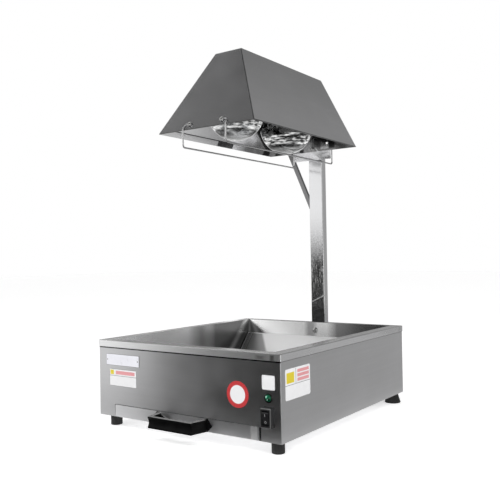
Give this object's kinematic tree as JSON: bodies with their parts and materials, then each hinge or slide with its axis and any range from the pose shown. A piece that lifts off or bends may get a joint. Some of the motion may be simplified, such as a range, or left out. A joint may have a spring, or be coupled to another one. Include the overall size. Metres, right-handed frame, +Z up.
{
  "type": "chip warmer",
  "caption": "Counter-top chip warmer: a steel well with a lift-out sloped tray and a crumb drawer, under two reflector heat lamps in a hood on a rear post.",
  "frame": {"origin": "on the surface the feet stand on, under the middle of the object's box", "axes": "+X to the right along the front, +Y to the back, where the post is, +Z up"},
  "size_m": [0.4716, 0.6166, 0.8132],
  "materials": {
    "brushed_casing": "brushed stainless sheet, satin",
    "satin_well": "bright annealed stainless sheet, satin",
    "brushed_hood": "brushed stainless sheet, satin",
    "polished_post": "polished stainless tube",
    "mill_steel": "plain stainless, mill finish",
    "zinc_fastener": "bright zinc plated",
    "chromed_wire": "bright drawn wire",
    "black_plastic": "moulded black, slight sheen",
    "rocker_plastic": "moulded black, glossy",
    "foot_rubber": "black rubber, matt",
    "pilot_ring_metal": "black ring",
    "green_lens": "green translucent lens",
    "white_plastic": "natural white",
    "porcelain": "glazed porcelain",
    "lamp_cap_brass": "nickel plated brass, bright",
    "lamp_mirror": "aluminised inside of the bowl",
    "lamp_glass": "clear pressed glass",
    "filament_wire": "tungsten wire on a glass stem"
  },
  "bodies": {
    "base": {"bolt_sleeve": "mill_steel", "brace": "mill_steel", "brace_screw": "zinc_fastener", "brace_standoff": "mill_steel", "casing": "brushed_casing", "cord_gland": "black_plastic", "foot_front_left": "foot_rubber", "foot_front_right": "foot_rubber", "foot_nuts": "zinc_fastener", "foot_rear_left": "foot_rubber", "foot_rear_right": "foot_rubber", "foot_screws": "zinc_fastener", "gland_nut": "black_plastic", "guard_left": "chromed_wire", "guard_nuts": "zinc_fastener", "guard_right": "chromed_wire", "guard_screws": "zinc_fastener", "head_bolts": "zinc_fastener", "head_nuts": "zinc_fastener", "head_plate": "mill_steel", "head_spacer": "mill_steel", "hood_front": "brushed_hood", "hood_rear": "brushed_hood", "hood_wrap": "brushed_hood", "lamp_front_bowl": "lamp_mirror", "lamp_front_cap": "lamp_cap_brass", "lamp_front_filament": "filament_wire", "lamp_front_lens": "lamp_glass", "lamp_front_socket": "porcelain", "lamp_rail": "mill_steel", "lamp_rear_bowl": "lamp_mirror", "lamp_rear_cap": "lamp_cap_brass", "lamp_rear_filament": "filament_wire", "lamp_rear_lens": "lamp_glass", "lamp_rear_socket": "porcelain", "pilot_barrel": "white_plastic", "pilot_lens": "green_lens", "pilot_ring": "pilot_ring_metal", "post": "polished_post", "post_bolts": "zinc_fastener", "post_caps": "black_plastic", "post_nuts": "zinc_fastener", "post_pad": "mill_steel", "rail_nuts": "zinc_fastener", "rail_studs": "zinc_fastener", "rear_panel": "brushed_casing", "rim_rivets": "zinc_fastener", "runner_left": "mill_steel", "runner_right": "mill_steel", "switch_bezel": "black_plastic", "switch_body": "black_plastic", "terminal_block": "white_plastic", "well_liner": "satin_well"},
    "drawer": {"drawer_tray": "satin_well", "drawer_front": "brushed_casing", "drawer_handle": "black_plastic", "handle_screws": "zinc_fastener"},
    "tray": {"chip_tray": "satin_well", "tray_screen": "satin_well"},
    "rocker": {"switch_rocker": "rocker_plastic"}
  },
  "joints": [
    {"name": "drawer_slide", "type": "slide", "parent": "base", "child": "drawer", "axis": [0, -1, 0], "range_m": [0, 0.3]},
    {"name": "tray_lift", "type": "slide", "parent": "base", "child": "tray", "axis": [0, 0, 1], "range_m": [0, 0.2]},
    {"name": "rocker_tilt", "type": "hinge", "parent": "base", "child": "rocker", "pos_m": [0.2085, -0.27775, 0.07075], "axis": [-1, 0, 0], "range_deg": [0, 18]}
  ]
}
